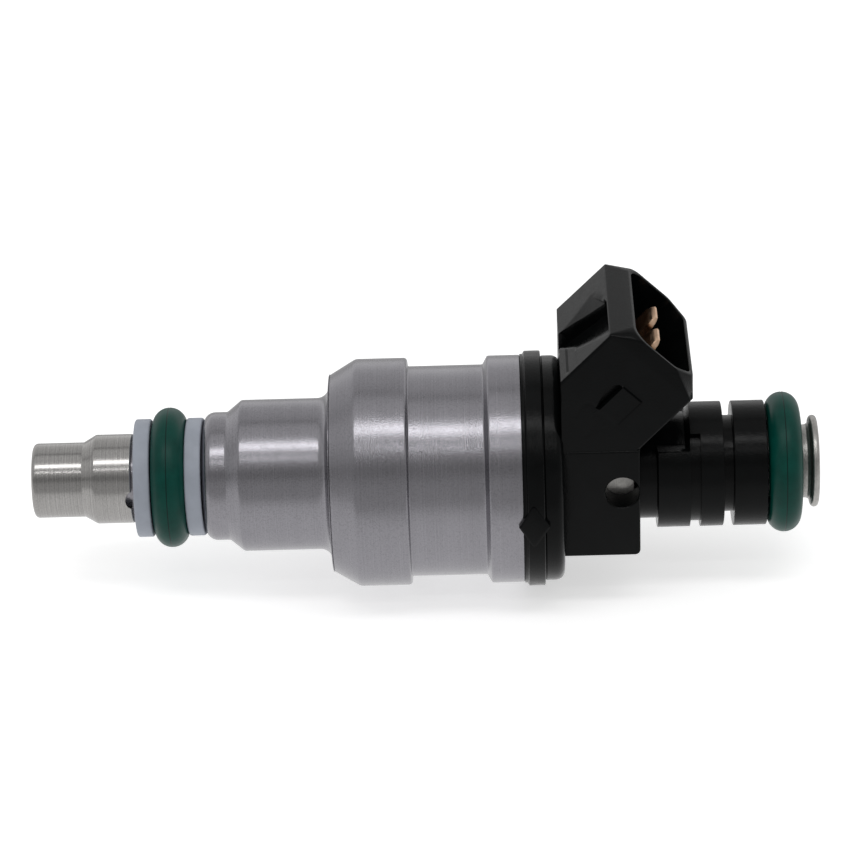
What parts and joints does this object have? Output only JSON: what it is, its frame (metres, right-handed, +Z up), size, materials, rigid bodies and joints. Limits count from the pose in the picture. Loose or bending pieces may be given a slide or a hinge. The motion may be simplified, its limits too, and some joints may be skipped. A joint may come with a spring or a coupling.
{
  "type": "fuel injector",
  "caption": "Top-feed fuel injector: steel body on a spray tip, green sealing rings, black plastic overmould and a slanted electrical socket with flat terminals.",
  "frame": {"origin": "centre of the nozzle sealing ring, on the injector's axis", "axes": "+X along the injector's axis from the spray tip to the fuel inlet, +Z up on the side of the electrical socket, XZ is the plane of symmetry"},
  "size_m": [0.0822, 0.0247, 0.0321],
  "materials": {
    "tip_stainless": "bright turned stainless",
    "hard_stainless": "ground",
    "turned_steel": "satin, fine turning lines",
    "housing_steel": "satin, light blasting over turning lines",
    "inlet_stainless": "mottled satin",
    "magnet_iron": "ground",
    "spring_steel": "drawn wire",
    "green_rubber": "smooth, slightly oily sheen",
    "black_rubber": "matt",
    "washer_plastic": "matt moulded",
    "black_nylon": "glass-filled, satin",
    "terminal_bronze": "stamped strip",
    "bobbin_plastic": "matt moulded",
    "enamelled_wire": "enamelled, glossy",
    "filter_plastic": "matt moulded",
    "filter_cloth": "fine woven cloth"
  },
  "bodies": {
    "injector_body": {"spray_tip_cap": "tip_stainless", "orifice_disc": "hard_stainless", "valve_seat": "hard_stainless", "seat_seal_ring": "black_rubber", "valve_body": "turned_steel", "nozzle_retainer_washer": "washer_plastic", "nozzle_o_ring": "green_rubber", "nozzle_spacer_washer": "washer_plastic", "needle_guide": "hard_stainless", "lift_stop_shim": "hard_stainless", "return_spring": "spring_steel", "adjusting_tube": "magnet_iron", "pole_piece": "magnet_iron", "nonmagnetic_sleeve": "hard_stainless", "coil_bobbin": "bobbin_plastic", "coil_winding": "enamelled_wire", "lower_coil_seal": "black_rubber", "upper_coil_seal": "black_rubber", "flux_washer": "magnet_iron", "solenoid_housing": "housing_steel", "overmold": "black_nylon", "terminal_left": "terminal_bronze", "terminal_right": "terminal_bronze", "inlet_tube": "inlet_stainless", "inlet_filter_frame": "filter_plastic", "inlet_filter_mesh": "filter_cloth", "rail_o_ring": "green_rubber"},
    "needle_assembly": {"needle": "hard_stainless", "armature": "magnet_iron"}
  },
  "joints": [
    {"name": "needle_slide", "type": "slide", "parent": "injector_body", "child": "needle_assembly", "axis": [1, 0, 0], "range_m": [0, 0.00012], "stiffness_N_per_m": 5000, "springref_m": -0.001, "deforming": ["return_spring"]}
  ]
}
